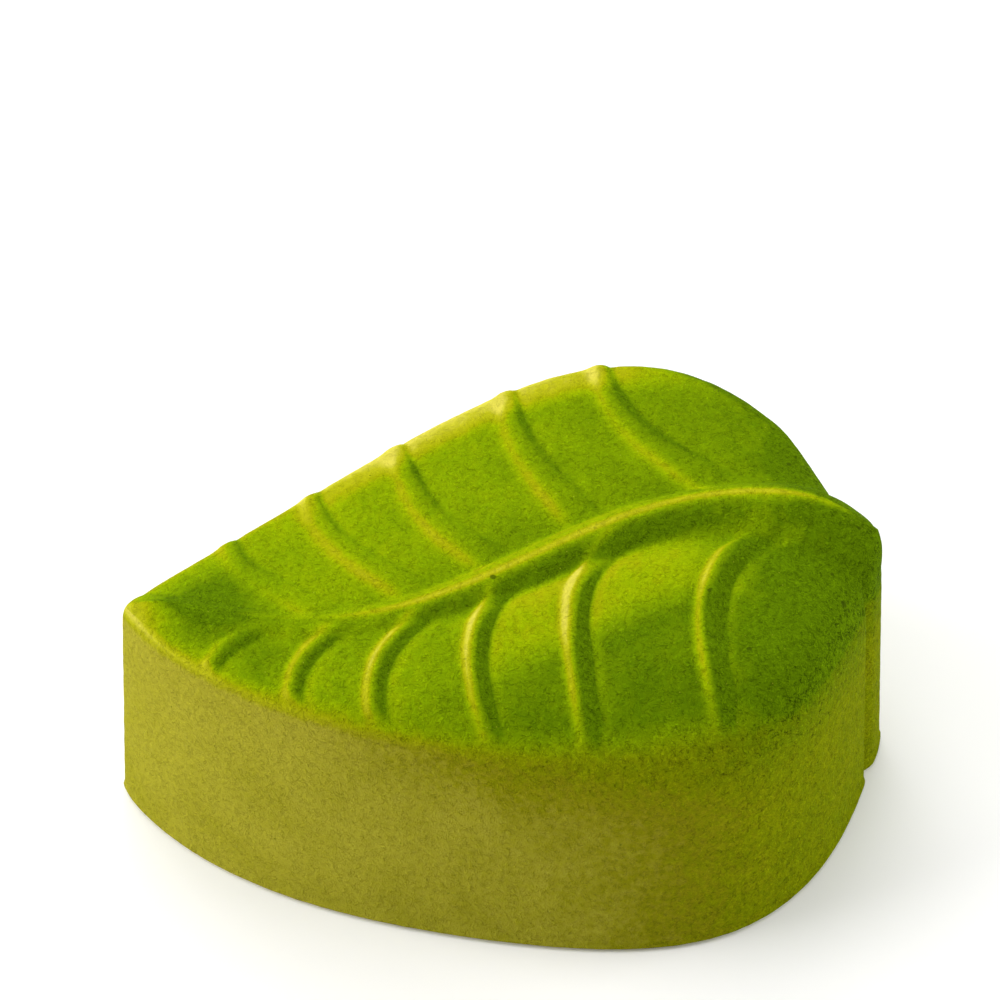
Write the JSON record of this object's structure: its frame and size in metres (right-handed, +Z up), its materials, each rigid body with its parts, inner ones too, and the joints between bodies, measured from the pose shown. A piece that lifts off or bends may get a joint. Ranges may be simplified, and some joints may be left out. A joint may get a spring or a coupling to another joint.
{
  "type": "leaf-shaped matcha mousse cake",
  "caption": "Single-portion mousse cake moulded as a leaf, with a raised swaying midrib, side veins and a green velvet spray over yellow-olive walls",
  "frame": {"origin": "On the flat base, below the middle of the cake's bounding box", "axes": "+X from the leaf's tip to its stem end, +Y towards the back side with the crisp edge, +Z up"},
  "size_m": [0.0878, 0.0656, 0.0352],
  "materials": {
    "matcha_velvet": "matte cocoa-butter velvet spray on mousse, deep green on top and olive yellow on the walls"
  },
  "bodies": {
    "root": {"leaf_cake": "matcha_velvet"}
  },
  "joints": []
}
